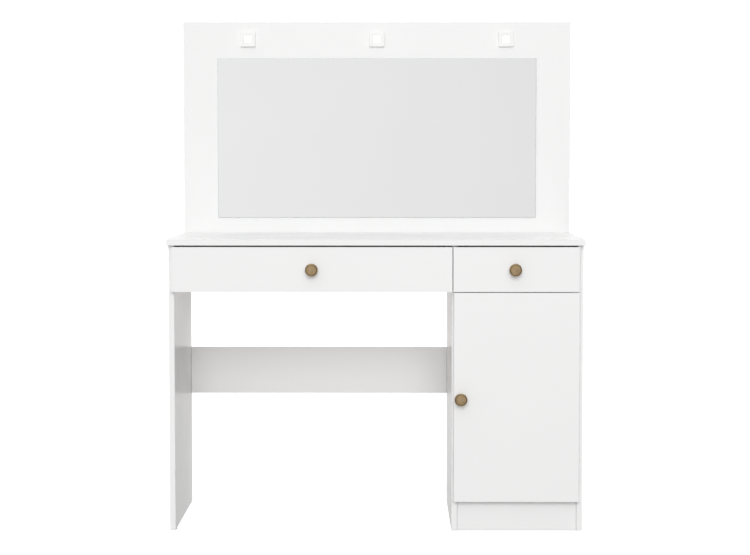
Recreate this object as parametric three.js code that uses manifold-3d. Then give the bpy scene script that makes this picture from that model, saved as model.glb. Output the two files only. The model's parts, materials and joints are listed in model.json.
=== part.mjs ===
// Vanity table with a tall mirror panel: a wide drawer over a knee space, a small drawer over a
// door cabinet, three lights above a frameless mirror.
// Units are millimetres. +X is to the right, +Y to the back, +Z up. The origin is on the floor,
// under the middle of the object's box.

import * as THREE from 'three';
import { mergeVertices } from 'three/addons/utils/BufferGeometryUtils.js';
import Module from 'manifold-3d';

const wasm = await Module();
wasm.setup();

// ---------------------------------------------------------------- driving dimensions

const tableWidth = 1080; // over the tabletop
const tableHeight = 762; // floor to tabletop surface
const tableDepth = 435; // the tabletop, without the mirror panel behind it
const totalHeight = 1348; // floor to the top of the mirror panel

const board = 15; // thickness of every panel, shelf and front
const drawerBoard = 12; // drawer sides and backs
const thinBoard = 3; // drawer bottoms and the cabinet back
const seam = 0.3; // between pieces that are fixed together

const topOverhang = 3; // tabletop past each side panel
const frontSetback = 3; // drawer and door fronts behind the tabletop's edge
const frontGap = 3; // between a front's back face and the panel edges behind it
const frontReveal = 2; // between one front and the next
const topReveal = 4; // between the drawer fronts and the tabletop over them

const cabinetWidth = 310.5; // inside, between the divider and the right side panel
const drawerOpening = 119; // height between the tabletop and the board under the small drawer
const drawerFrontHeight = 116;
const leftFrontOverlap = [6, 1]; // wide drawer front over the side panel and over the divider
const rightFrontOverlap = [11.5, 4]; // small drawer front over the divider and over the side panel
const doorOverlap = [9.5, 4]; // door over the divider and over the side panel
const doorDrop = 19; // door past the upper face of the cabinet bottom

const glideHeight = 3;
const glideRadius = 7;
const glideInset = 30; // glide centre from the panel's front and back edges
const cabinetFloor = 85; // floor to the underside of the cabinet bottom
const plinthSetback = 5;
const shelfHeight = 340; // floor to the underside of the loose shelf
const shelfPlay = 1; // at each end of the loose shelf
const shelfSetback = 15;
const backInset = 2.5; // cabinet back inside the outer edges it is nailed to
const stretcherBottom = 310;
const stretcherHeight = 130;

const panelDrop = 150; // mirror panel below the tabletop surface
const mirrorThickness = 3;
const mirrorSideMargin = 95; // mirror's side edges inside the panel's side edges
const mirrorTopMargin = 99.5; // mirror's top edge under the panel's top edge
const mirrorBottomMargin = 41.5; // mirror's bottom edge over the tabletop

const lightSize = 41;
const lightDepth = 9;
const lightCorner = 2;
const lightWindow = 23;
const diffuserDepth = 7.5;
const lightDrop = 47; // light centre under the panel's top edge
const lightSpacing = 360;
const wireHole = 4; // radius

const racewayWidth = 16;
const racewayDepth = 9;
const inletSize = [44, 16, 30];
const inletMouth = 3.2; // radius of the power socket
const inletSocketDepth = 10;
const inletPin = 1;
const inletPinRecess = 1; // pin's tip inside the mouth
const inletRise = 14; // inlet's lower face over the panel's lower edge

const drawerBackSpace = 36.4; // between a drawer's back and the back of the carcass
const drawerSideHeight = 104;
const drawerFloorGap = 10; // drawer box over the board under it
const grooveDepth = 5;
const grooveRise = 9; // drawer bottom over the lower edge of the drawer sides
const groovePlay = 0.3; // on each face of a drawer bottom in its groove

const slideShortfall = 30; // slides shorter than the drawer box
const slideHeight = 35;
const slideThickness = 12.7;
const slideMetal = 1.2;
const slideRace = 3.2; // ball space between nested members
const slideNesting = 1.4; // between one member's web and the tips or web of the next
const slideOuterTip = 3.2; // cabinet member's lips short of the drawer side
const slideMiddleTip = 1.6; // middle member's lips short of the drawer side
const slideFrontInset = 4; // slide behind the carcass's front edges

const knobRadius = 16.5;
const knobProjection = 25;
const knobFaceRadius = 12.5;
const knobStemRadius = 6;
const knobBaseRadius = 9;
const knobBaseHeight = 2.5;
const knobBaseSlope = 2; // height of the slope from the base to the stem
const knobHeadHeight = 12; // the head, its sloped underside included
const knobHeadSlope = 3;
const knobRimSteps = 6;
const smallKnobShift = 4; // small drawer's knob to the left of its front's middle
const doorKnobInset = 17.7; // from the door's left edge
const doorKnobDrop = 275; // from the door's top edge
const screwRadius = 2;
const screwHole = 2.25;
const screwHeadRadius = 4;
const screwHeadHeight = 2.4;
const screwHeadChamfer = 1.2; // at the rim of the head, in radius
const screwReach = 12; // into the knob
const knobHoleSpare = 1; // knob's hole past the screw's end

const cupRadius = 17.5;
const cupWall = 0.8;
const cupDepth = 12;
const cupEdge = 3.5; // cup's rim from the door's edge
const cupFlange = 1;
const hingeInset = 90; // hinge centre from the door's top and bottom edges
const pivotEdge = 7.2; // hinge axis from the door's edge
const pivotDepth = 9; // hinge axis inside the door's back face
const hingePin = 1;
const hingeEyeBore = 1.3;
const hingeEyeRadius = 2;
const armMetal = 1.6;
const armReach = 12; // from the hinge axis to the arm's crank
const armWidth = 8;
const armDip = 1; // the crank's first stretch falls this far into the cup
const armStep = 3; // sideways step of the crank, once it is clear of the door
const armDoorGap = 1.5; // between the crank and the door's back face
const armRailLead = 6; // from one bend or end of the arm to the next, along the cabinet's depth
const armPlate = [60, 56, 2]; // length, height and thickness of the plate on the side panel
const armRailHeight = 13;
const armRailDepth = 9;

// ---------------------------------------------------------------- places worked out from them

const halfWidth = tableWidth / 2;
const backFace = 0; // the mirror panel's back; everything else is in front of it
const panelFront = backFace - board;
const topBack = panelFront - seam;
const topFront = panelFront - tableDepth;
const frontFace = topFront + frontSetback;
const frontBack = frontFace + board;
const carcassFront = frontBack + frontGap;
const carcassBack = panelFront - seam;

const topUnder = tableHeight - board;
const sideOuter = halfWidth - topOverhang;
const sideInner = sideOuter - board;
const dividerRight = sideInner - cabinetWidth;
const dividerLeft = dividerRight - board;
const shelfBoardTop = topUnder - drawerOpening;
const cabinetFloorTop = cabinetFloor + board;

const fronts = {
  left: [-sideInner - leftFrontOverlap[0], dividerLeft + leftFrontOverlap[1]],
  right: [dividerRight - rightFrontOverlap[0], sideInner + rightFrontOverlap[1]],
  door: [dividerRight - doorOverlap[0], sideInner + doorOverlap[1]],
};
const drawerFrontTop = topUnder - topReveal;
const drawerFrontBottom = drawerFrontTop - drawerFrontHeight;
const doorTop = drawerFrontBottom - frontReveal;
const doorBottom = cabinetFloorTop - doorDrop;

const panelBottom = tableHeight - panelDrop;
const mirrorHalf = halfWidth - mirrorSideMargin;
const mirrorHeights = [tableHeight + mirrorBottomMargin, totalHeight - mirrorTopMargin];
const lightHeight = totalHeight - lightDrop;

const drawerBottom = shelfBoardTop + drawerFloorGap;
const drawerTop = drawerBottom + drawerSideHeight;
const drawerBoxFront = frontBack + seam;
const drawerBoxBack = carcassBack - drawerBackSpace;
const slideLength = drawerBoxBack - drawerBoxFront - slideShortfall;
const slideCentre = (drawerBottom + drawerTop) / 2;
const slideFront = carcassFront + slideFrontInset;
const knobHeight = (drawerFrontBottom + drawerFrontTop) / 2;

// ---------------------------------------------------------------- materials

function finish(color, roughness, metalness = 0) {
  return new THREE.MeshStandardMaterial({ color, roughness, metalness });
}

const white = finish(0xf2f2f1, 0.3);
const whiteDrawer = finish(0xe9e8e5, 0.5);
const backboard = finish(0xdedad2, 0.7);
const mirrorGlass = finish(0xdfe3e4, 0.03, 1);
const bronze = finish(0x84704f, 0.35, 1);
const steel = finish(0xb9bbbd, 0.35, 1);
const plastic = finish(0xeeeeec, 0.4);
const frosted = finish(0xffffff, 0.6);
const darkPlastic = finish(0x2b2b2d, 0.5);
const glideGrey = finish(0x8d8f92, 0.6);

// ---------------------------------------------------------------- solids

// Geometry of a closed mesh as a manifold solid.
function solid(geometry) {
  const bare = geometry.clone();
  bare.deleteAttribute('normal');
  bare.deleteAttribute('uv');
  const merged = mergeVertices(bare, 1e-4);
  return new wasm.Manifold(
    new wasm.Mesh({
      numProp: 3,
      vertProperties: new Float32Array(merged.attributes.position.array),
      triVerts: new Uint32Array(merged.index.array),
    }),
  );
}

// A manifold solid back as three.js geometry.
function geometryOf(manifold) {
  const mesh = manifold.getMesh();
  const geometry = new THREE.BufferGeometry();
  geometry.setAttribute('position', new THREE.BufferAttribute(mesh.vertProperties, 3));
  geometry.setIndex(new THREE.BufferAttribute(mesh.triVerts, 1));
  geometry.computeVertexNormals();
  return geometry;
}

function union(first, ...others) {
  const joined = others.reduce((sum, geometry) => sum.add(solid(geometry)), solid(first));
  return geometryOf(joined);
}

function cut(first, ...tools) {
  const left = tools.reduce((rest, geometry) => rest.subtract(solid(geometry)), solid(first));
  return geometryOf(left);
}

// A block between two corners.
function block([x0, x1], [y0, y1], [z0, z1]) {
  const geometry = new THREE.BoxGeometry(x1 - x0, y1 - y0, z1 - z0);
  geometry.translate((x0 + x1) / 2, (y0 + y1) / 2, (z0 + z1) / 2);
  return geometry;
}

// A round bar or hole along Y, from y0 to y1.
function barAlongY(radius, x, [y0, y1], z, sides = 24) {
  const geometry = new THREE.CylinderGeometry(radius, radius, y1 - y0, sides);
  geometry.translate(x, (y0 + y1) / 2, z);
  return geometry;
}

// A round bar or hole along Z, from z0 to z1.
function barAlongZ(radius, x, y, [z0, z1], sides = 16) {
  const geometry = new THREE.CylinderGeometry(radius, radius, z1 - z0, sides);
  geometry.rotateX(Math.PI / 2);
  geometry.translate(x, y, (z0 + z1) / 2);
  return geometry;
}

// A flat outline of [x, y] points, extruded along +Z to the given depth.
function extrude(points, depth) {
  const shape = new THREE.Shape(points.map(([x, y]) => new THREE.Vector2(x, y)));
  return new THREE.ExtrudeGeometry(shape, { depth, bevelEnabled: false });
}

// A section of [x, z] points, extruded along Y from y0 to y1.
function sectionAlongY(points, [y0, y1]) {
  const geometry = extrude(points.map(([x, z]) => [x, -z]), y1 - y0);
  geometry.rotateX(-Math.PI / 2);
  geometry.translate(0, y0, 0);
  return geometry;
}

// A profile of [radius, height] points turned about Y, its height growing to the front (-Y).
function turnedTowardsFront(profile, sides = 32) {
  const geometry = new THREE.LatheGeometry(profile.map(([r, h]) => new THREE.Vector2(r, h)), sides);
  geometry.rotateX(Math.PI);
  return geometry;
}

const assembly = new THREE.Group();

function piece(name, material, geometry, [x, y, z] = [0, 0, 0]) {
  const mesh = new THREE.Mesh(geometry, material);
  mesh.name = name;
  mesh.position.set(x, y, z);
  assembly.add(mesh);
}

// ---------------------------------------------------------------- carcass

function uprightPanel(name, [x0, x1]) {
  const depth = [carcassFront, carcassBack];
  piece(name, white, block([x0, x1], depth, [glideHeight + seam, topUnder - seam]));
  const ends = { front: carcassFront + glideInset, back: carcassBack - glideInset };
  for (const [end, y] of Object.entries(ends)) {
    const glide = barAlongZ(glideRadius, (x0 + x1) / 2, y, [0, glideHeight], 20);
    piece(`${name}_${end}_glide`, glideGrey, glide);
  }
}

uprightPanel('left_side_panel', [-sideOuter, -sideInner]);
uprightPanel('divider_panel', [dividerLeft, dividerRight]);
uprightPanel('right_side_panel', [sideInner, sideOuter]);

piece('tabletop', white, block([-halfWidth, halfWidth], [topFront, topBack], [topUnder, tableHeight]));

const cabinetSpan = [dividerRight + seam, sideInner - seam];
const carcassSpan = [carcassFront, carcassBack];
piece('drawer_board', white, block(cabinetSpan, carcassSpan, [shelfBoardTop - board, shelfBoardTop]));
piece('cabinet_bottom', white, block(cabinetSpan, carcassSpan, [cabinetFloor, cabinetFloorTop]));

const plinthFront = carcassFront + plinthSetback;
const plinthSpan = [plinthFront, plinthFront + board];
piece('plinth', white, block(cabinetSpan, plinthSpan, [glideHeight, cabinetFloor - seam]));

const shelfSpan = [dividerRight + shelfPlay, sideInner - shelfPlay];
const shelfDepth = [carcassFront + shelfSetback, carcassBack - seam];
piece('cabinet_shelf', white, block(shelfSpan, shelfDepth, [shelfHeight, shelfHeight + board]));

const stretcherSpan = [-sideInner + seam, dividerLeft - seam];
piece('back_stretcher', white, block(
  stretcherSpan,
  [carcassBack - board, carcassBack],
  [stretcherBottom, stretcherBottom + stretcherHeight],
));

piece('cabinet_back', backboard, block(
  [dividerLeft + backInset, sideOuter - backInset],
  [panelFront, panelFront + thinBoard],
  [cabinetFloor + backInset, panelBottom - seam],
));

// ---------------------------------------------------------------- mirror panel and lights

const lightPlaces = { left: -lightSpacing, middle: 0, right: lightSpacing };
const panelBlock = block([-halfWidth, halfWidth], [panelFront, backFace], [panelBottom, totalHeight]);
const wireHoles = Object.values(lightPlaces).map(
  (x) => barAlongY(wireHole, x, [panelFront - board, backFace + board], lightHeight, 16),
);
piece('mirror_panel', white, cut(panelBlock, ...wireHoles));

const mirrorBack = panelFront - seam;
piece('mirror', mirrorGlass, block(
  [-mirrorHalf, mirrorHalf],
  [mirrorBack - mirrorThickness, mirrorBack],
  mirrorHeights,
));

// A square outline with rounded corners, centred on the origin.
function roundedSquare(size, corner) {
  const half = size / 2;
  const inner = half - corner;
  const shape = new THREE.Shape();
  shape.moveTo(-inner, -half);
  shape.lineTo(inner, -half);
  shape.absarc(inner, -inner, corner, -Math.PI / 2, 0, false);
  shape.lineTo(half, inner);
  shape.absarc(inner, inner, corner, 0, Math.PI / 2, false);
  shape.lineTo(-inner, half);
  shape.absarc(-inner, inner, corner, Math.PI / 2, Math.PI, false);
  shape.lineTo(-half, -inner);
  shape.absarc(-inner, -inner, corner, Math.PI, 1.5 * Math.PI, false);
  return shape;
}

// The housing is a flat square frame around its window.
function lightHousing() {
  const frame = roundedSquare(lightSize, lightCorner);
  const half = lightWindow / 2;
  const corners = [[-half, -half], [-half, half], [half, half], [half, -half]];
  frame.holes.push(new THREE.Path(corners.map(([x, y]) => new THREE.Vector2(x, y))));
  const geometry = new THREE.ExtrudeGeometry(frame, {
    depth: lightDepth,
    bevelEnabled: false,
    curveSegments: 4,
  });
  geometry.rotateX(Math.PI / 2);
  return geometry;
}

for (const [side, x] of Object.entries(lightPlaces)) {
  const diffuserHalf = lightWindow / 2 - seam;
  const diffuser = block(
    [-diffuserHalf, diffuserHalf],
    [-diffuserDepth, 0],
    [-diffuserHalf, diffuserHalf],
  );
  piece(`${side}_light_housing`, plastic, lightHousing(), [x, panelFront - seam, lightHeight]);
  piece(`${side}_light_diffuser`, frosted, diffuser, [x, panelFront - seam, lightHeight]);
}

// The wires run in a raceway on the panel's back: across behind the lights, then down to the inlet.
const racewaySpan = [backFace + seam, backFace + seam + racewayDepth];
const inletBottom = panelBottom + inletRise;
const inletTop = inletBottom + inletSize[2];
const racewayHalf = racewayWidth / 2;
piece('cable_raceway', plastic, block(
  [-lightSpacing - racewayWidth, lightSpacing + racewayWidth],
  racewaySpan,
  [lightHeight - racewayHalf, lightHeight + racewayHalf],
));
piece('cable_raceway_drop', plastic, block(
  [-racewayHalf, racewayHalf],
  racewaySpan,
  [inletTop + seam, lightHeight - racewayHalf - seam],
));

// Power socket: a round mouth with a centre pin, in a small box.
const inletBack = backFace + seam + inletSize[1];
const inletBlock = block(
  [-inletSize[0] / 2, inletSize[0] / 2],
  [backFace + seam, inletBack],
  [inletBottom, inletTop],
);
const inletMiddle = (inletBottom + inletTop) / 2;
const inletSocket = barAlongY(
  inletMouth,
  0,
  [inletBack - inletSocketDepth, inletBack + inletSocketDepth],
  inletMiddle,
  20,
);
const inletCentre = barAlongY(
  inletPin,
  0,
  [inletBack - inletSocketDepth - inletPin, inletBack - inletPinRecess],
  inletMiddle,
  12,
);
piece('power_inlet', darkPlastic, union(cut(inletBlock, inletSocket), inletCentre));

// ---------------------------------------------------------------- knobs and their screws

// Mushroom knob: a round base, a stem, and a head with a soft rim around a flat face.
function knobGeometry() {
  const rim = knobRadius - knobFaceRadius;
  const face = knobProjection;
  const holeEnd = screwReach + knobHoleSpare;
  const stemFront = face - knobHeadHeight;
  const hole = [[0, holeEnd], [screwHole, holeEnd], [screwHole, 0]];
  const base = [
    [knobBaseRadius, 0],
    [knobBaseRadius, knobBaseHeight],
    [knobStemRadius, knobBaseHeight + knobBaseSlope],
  ];
  const stem = [[knobStemRadius, stemFront], [knobFaceRadius, stemFront + knobHeadSlope]];
  const edge = [];
  for (let step = 0; step <= knobRimSteps; step += 1) {
    const angle = -Math.PI / 2 + (Math.PI * step) / knobRimSteps;
    edge.push([knobFaceRadius + rim * Math.cos(angle), face - rim + rim * Math.sin(angle)]);
  }
  return turnedTowardsFront([...hole, ...base, ...stem, ...edge, [0, face]]);
}

// Pan-head screw from behind a front, through it and into the knob.
function screwGeometry() {
  const length = board + 2 * seam + screwReach;
  return turnedTowardsFront([
    [0, -screwHeadHeight],
    [screwHeadRadius - screwHeadChamfer, -screwHeadHeight],
    [screwHeadRadius, screwHeadChamfer - screwHeadHeight],
    [screwHeadRadius, 0],
    [screwRadius, 0],
    [screwRadius, length],
    [0, length],
  ], 20);
}

function knobWithScrew(name, x, z) {
  piece(`${name}_knob`, bronze, knobGeometry(), [x, frontFace - seam, z]);
  piece(`${name}_knob_screw`, steel, screwGeometry(), [x, frontBack + seam, z]);
}

function knobBore(x, z) {
  return barAlongY(screwHole, x, [frontFace - board, frontBack + board], z, 20);
}

// ---------------------------------------------------------------- drawers on telescopic slides

// A channel in section: its web at `web`, its flanges reaching to `tip`, both as distances from the
// cabinet wall, and its half height. toX turns a distance from the wall into X.
function channel(web, tip, halfHeight, toX) {
  const inward = Math.sign(tip - web);
  const inner = web + inward * slideMetal;
  const outline = [
    [web, -halfHeight],
    [tip, -halfHeight],
    [tip, -halfHeight + slideMetal],
    [inner, -halfHeight + slideMetal],
    [inner, halfHeight - slideMetal],
    [tip, halfHeight - slideMetal],
    [tip, halfHeight],
    [web, halfHeight],
  ];
  return sectionAlongY(
    outline.map(([distance, z]) => [toX(distance), slideCentre + z]),
    [slideFront, slideFront + slideLength],
  );
}

// Three nested members. wall is the X of the cabinet wall, side is +1 where the drawer is to its right.
function telescopicSlide(name, wall, side) {
  const toX = (distance) => wall + side * (seam + distance);
  const outerHalf = slideHeight / 2;
  const middleHalf = outerHalf - slideMetal - slideRace;
  const innerHalf = middleHalf - slideMetal - slideRace;
  const outerTip = slideThickness - slideOuterTip;
  const middleWeb = slideMetal + slideNesting;
  const middleTip = slideThickness - slideMiddleTip;
  const innerTip = middleWeb + slideMetal + slideNesting;
  piece(`${name}_cabinet_member`, steel, channel(0, outerTip, outerHalf, toX));
  piece(`${name}_middle_member`, steel, channel(middleWeb, middleTip, middleHalf, toX));
  piece(`${name}_drawer_member`, steel, channel(slideThickness, innerTip, innerHalf, toX));
}

// A drawer side in section, with the groove that holds the drawer bottom. inward is +1 or -1.
function drawerSide(outer, inward) {
  const inner = outer + inward * drawerBoard;
  const grooveBack = inner - inward * grooveDepth;
  const grooveLow = drawerBottom + grooveRise - groovePlay;
  const grooveHigh = drawerBottom + grooveRise + thinBoard + groovePlay;
  return sectionAlongY([
    [outer, drawerBottom],
    [inner, drawerBottom],
    [inner, grooveLow],
    [grooveBack, grooveLow],
    [grooveBack, grooveHigh],
    [inner, grooveHigh],
    [inner, drawerTop],
    [outer, drawerTop],
  ], [drawerBoxFront, drawerBoxBack]);
}

function drawer(name, [wallLeft, wallRight], frontSpan, knobX) {
  const slideSpace = slideThickness + 2 * seam;
  const outerLeft = wallLeft + slideSpace;
  const outerRight = wallRight - slideSpace;
  const innerLeft = outerLeft + drawerBoard;
  const innerRight = outerRight - drawerBoard;
  const bottomLow = drawerBottom + grooveRise;
  const bottomHigh = bottomLow + thinBoard;
  const intoGroove = grooveDepth - seam;

  const frontBlock = block(frontSpan, [frontFace, frontBack], [drawerFrontBottom, drawerFrontTop]);
  const frontGroove = block(
    [innerLeft - grooveDepth, innerRight + grooveDepth],
    [frontBack - grooveDepth, frontBack + grooveDepth],
    [bottomLow - groovePlay, bottomHigh + groovePlay],
  );
  piece(`${name}_front`, white, cut(frontBlock, frontGroove, knobBore(knobX, knobHeight)));
  piece(`${name}_left_side`, whiteDrawer, drawerSide(outerLeft, 1));
  piece(`${name}_right_side`, whiteDrawer, drawerSide(outerRight, -1));
  piece(`${name}_back`, whiteDrawer, block(
    [innerLeft + seam, innerRight - seam],
    [drawerBoxBack - drawerBoard, drawerBoxBack],
    [bottomHigh + groovePlay, drawerTop],
  ));
  piece(`${name}_bottom`, backboard, block(
    [innerLeft - intoGroove, innerRight + intoGroove],
    [frontBack - intoGroove, drawerBoxBack],
    [bottomLow, bottomHigh],
  ));
  telescopicSlide(`${name}_left_slide`, wallLeft, 1);
  telescopicSlide(`${name}_right_slide`, wallRight, -1);
  knobWithScrew(name, knobX, knobHeight);
}

const middleOf = ([low, high]) => (low + high) / 2;
const smallKnobX = middleOf(fronts.right) - smallKnobShift;
drawer('left_drawer', [-sideInner, dividerLeft], fronts.left, middleOf(fronts.left));
drawer('right_drawer', [dividerRight, sideInner], fronts.right, smallKnobX);

// ---------------------------------------------------------------- door and its concealed hinges

const doorEdge = fronts.door[1];
const doorKnobX = fronts.door[0] + doorKnobInset;
const doorKnobZ = doorTop - doorKnobDrop;
const hingeHeights = { lower: doorBottom + hingeInset, upper: doorTop - hingeInset };
const cupX = doorEdge - cupEdge - cupRadius;
const pivotX = doorEdge - pivotEdge;
const pivotY = frontBack - pivotDepth;

const doorBlock = block(fronts.door, [frontFace, frontBack], [doorBottom, doorTop]);
const cupHoles = Object.values(hingeHeights).map((z) => barAlongY(
  cupRadius + seam,
  cupX,
  [frontBack - cupDepth - seam, frontBack + board],
  z,
  40,
));
piece('door', white, cut(doorBlock, ...cupHoles, knobBore(doorKnobX, doorKnobZ)));
knobWithScrew('door', doorKnobX, doorKnobZ);

// A strip of even thickness in plan, following [x, y] points, extruded along Z about z = 0.
function bentStrip(points, thickness, width) {
  const offsets = points.map(([x, y], index) => {
    const before = points[Math.max(index - 1, 0)];
    const after = points[Math.min(index + 1, points.length - 1)];
    const enter = new THREE.Vector2(x - before[0], y - before[1]);
    const leave = new THREE.Vector2(after[0] - x, after[1] - y);
    const first = enter.length() > 0 ? enter.normalize() : leave.clone().normalize();
    const second = leave.length() > 0 ? leave.normalize() : first;
    const miter = first.clone().add(second).normalize();
    const normal = new THREE.Vector2(-miter.y, miter.x);
    return normal.multiplyScalar(thickness / 2 / miter.dot(first));
  });
  const oneSide = points.map(([x, y], index) => [x + offsets[index].x, y + offsets[index].y]);
  const otherSide = points.map(([x, y], index) => [x - offsets[index].x, y - offsets[index].y]);
  const geometry = extrude([...oneSide, ...otherSide.reverse()], width);
  geometry.translate(0, 0, -width / 2);
  return geometry;
}

// Cup pressed into the door, open to the back, with the hinge pin across it.
function hingeCup() {
  const inner = cupRadius - cupWall;
  const cup = turnedTowardsFront([
    [0, cupDepth],
    [0, cupDepth - cupWall],
    [inner, cupDepth - cupWall],
    [inner, -cupFlange],
    [cupRadius, -cupFlange],
    [cupRadius, cupDepth],
    [0, cupDepth],
  ], 40);
  const across = pivotX - cupX;
  const pinHalf = Math.sqrt(cupRadius ** 2 - (across + hingePin) ** 2) - cupWall / 2;
  const pin = barAlongZ(hingePin, across, -pivotDepth, [-pinHalf, pinHalf], 12);
  return union(cup, pin);
}

// Fixed arm: an eye on the pin, a crank out of the cup, and a rail on a plate on the side panel.
function hingeArm() {
  const plateFace = sideInner - seam - pivotX;
  const railOuter = plateFace - armPlate[2];
  const railInner = railOuter - armRailDepth;
  const plateFront = carcassFront + armMetal - pivotY;
  const railFront = plateFront + armRailLead;
  const plateStart = railFront + armRailLead;
  const crank = [
    [-hingeEyeBore, 0],
    [-armReach, -armDip],
    [-armReach, pivotDepth + armMetal + armDoorGap],
    [-armReach + armStep, plateFront + armStep],
    [railInner + armMetal, railFront],
    [railInner + armMetal, plateStart],
  ];
  const eye = barAlongZ(hingeEyeRadius, 0, 0, [-armWidth / 2, armWidth / 2], 20);
  const bore = barAlongZ(hingeEyeBore, 0, 0, [-armWidth, armWidth], 20);
  const rail = block(
    [railInner, railOuter + armMetal],
    [railFront, plateFront + armPlate[0]],
    [-armRailHeight / 2, armRailHeight / 2],
  );
  const plate = block(
    [railOuter, plateFace],
    [plateStart, plateFront + armPlate[0] - armRailLead],
    [-armPlate[1] / 2, armPlate[1] / 2],
  );
  return cut(union(eye, bentStrip(crank, armMetal, armWidth), rail, plate), bore);
}

for (const [place, z] of Object.entries(hingeHeights)) {
  piece(`${place}_hinge_cup`, steel, hingeCup(), [cupX, frontBack, z]);
  piece(`${place}_hinge_arm`, steel, hingeArm(), [pivotX, pivotY, z]);
}

// ---------------------------------------------------------------- the whole, centred over its box

const foremost = frontFace - seam - knobProjection;
const rearmost = inletBack;
assembly.position.y = -(foremost + rearmost) / 2;

const group = new THREE.Group();
group.name = 'vanity_table_with_mirror';
group.add(assembly);

export default group;
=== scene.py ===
import json
import math

import bmesh
import bpy
from mathutils import Matrix, Vector


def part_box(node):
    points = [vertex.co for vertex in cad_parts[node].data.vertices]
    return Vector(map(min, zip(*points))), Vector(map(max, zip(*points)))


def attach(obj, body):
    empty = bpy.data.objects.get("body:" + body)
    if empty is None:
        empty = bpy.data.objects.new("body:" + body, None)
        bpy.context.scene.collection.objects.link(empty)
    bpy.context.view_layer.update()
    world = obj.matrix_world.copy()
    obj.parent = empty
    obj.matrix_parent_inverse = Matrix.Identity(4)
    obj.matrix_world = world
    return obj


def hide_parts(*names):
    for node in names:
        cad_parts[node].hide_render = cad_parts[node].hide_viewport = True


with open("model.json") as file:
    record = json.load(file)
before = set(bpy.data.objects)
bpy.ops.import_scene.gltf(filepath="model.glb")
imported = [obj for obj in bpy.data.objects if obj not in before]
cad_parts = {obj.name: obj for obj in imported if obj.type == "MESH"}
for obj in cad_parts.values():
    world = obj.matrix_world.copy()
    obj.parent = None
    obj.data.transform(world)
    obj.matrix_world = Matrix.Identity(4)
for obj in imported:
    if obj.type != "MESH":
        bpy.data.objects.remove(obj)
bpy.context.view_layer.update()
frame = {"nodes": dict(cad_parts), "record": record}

MM = 0.001
RIGHT = Vector((1, 0, 0))
LEFT = -RIGHT
BACK = Vector((0, 1, 0))
FRONT = -BACK
UP = Vector((0, 0, 1))
DOWN = -UP

# ------------------------------------------------------------------ camera

CAMERA_PLACE = (0.0342, -4.951, 0.993)
CAMERA_PITCH = 3.269  # degrees below level
CAMERA_YAW = 0.291
CAMERA_LENS = 88.35
CAMERA_SHIFT = (-0.0063, -0.03)
CAMERA_REACH = 100  # how far it sees


def add_camera():
    data = bpy.data.cameras.new("camera")
    data.lens = CAMERA_LENS
    data.shift_x, data.shift_y = CAMERA_SHIFT
    data.clip_end = CAMERA_REACH
    camera = bpy.data.objects.new("camera", data)
    camera.location = CAMERA_PLACE
    camera.rotation_euler = (math.radians(90 - CAMERA_PITCH), 0, math.radians(CAMERA_YAW))
    bpy.context.scene.collection.objects.link(camera)
    bpy.context.scene.camera = camera


add_camera()

# ------------------------------------------------------------------ procedural materials


def math_node(tree, operation, first, second=0):
    """Output of a Math node on two values, each a number or another node's output."""
    node = tree.nodes.new("ShaderNodeMath")
    node.operation = operation
    for socket, value in zip(node.inputs, (first, second)):
        if isinstance(value, (int, float)):
            socket.default_value = value
        else:
            tree.links.new(value, socket)
    return node.outputs["Value"]


def range_node(tree, value, numbers, interpolation="LINEAR"):
    """A value carried from one range to another. The numbers are low, high, to low, to high."""
    node = tree.nodes.new("ShaderNodeMapRange")
    node.interpolation_type = interpolation
    for socket, number in zip(node.inputs[1:5], numbers):
        socket.default_value = number
    tree.links.new(value, node.inputs["Value"])
    return node.outputs["Result"]


FACING_RANGE = (0.6, 0.8)  # cosines between which a surface starts to face along an axis


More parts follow.
